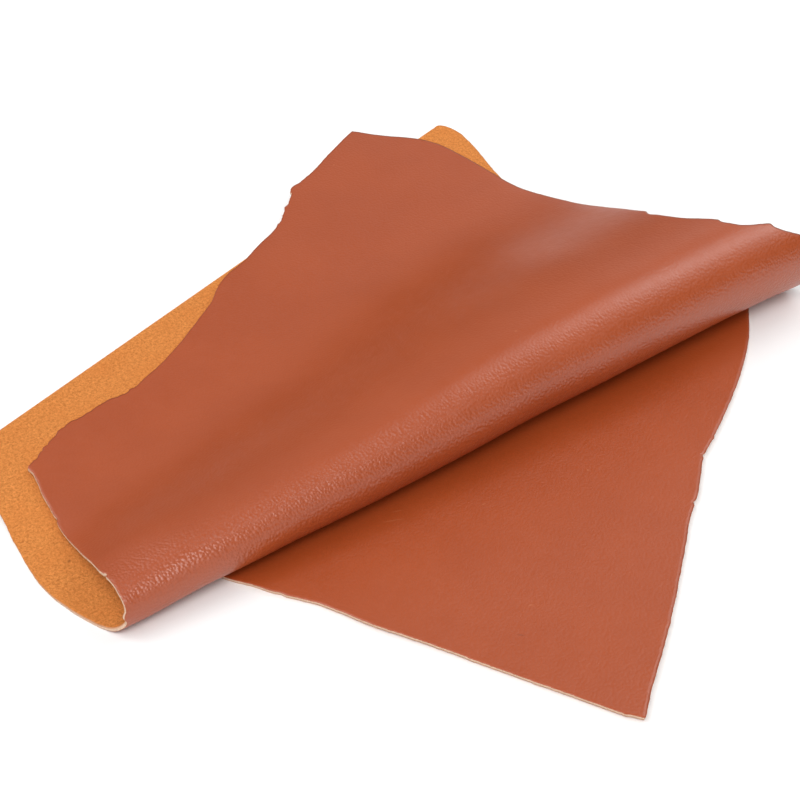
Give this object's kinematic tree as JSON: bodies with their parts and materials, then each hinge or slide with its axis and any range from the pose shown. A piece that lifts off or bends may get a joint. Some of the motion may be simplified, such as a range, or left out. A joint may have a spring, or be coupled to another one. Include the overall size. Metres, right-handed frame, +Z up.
{
  "type": "folded leather hide",
  "caption": "Cut piece of smooth leather hide folded over like a letter, with a soft front roll, uneven cut edges and a napped flesh side.",
  "frame": {"origin": "centre of the folded hide's bounding box, at its base, on the surface it lies on", "axes": "+Z up, +X along the front roll from its small end to its large end, +Y from the front roll to the rear"},
  "size_m": [0.4352, 0.449, 0.0507],
  "materials": {
    "leather": "smooth chestnut brown grain with a soft satin gloss on one side, orange tan nap on the other"
  },
  "bodies": {
    "root": {"hide": "leather"}
  },
  "joints": []
}
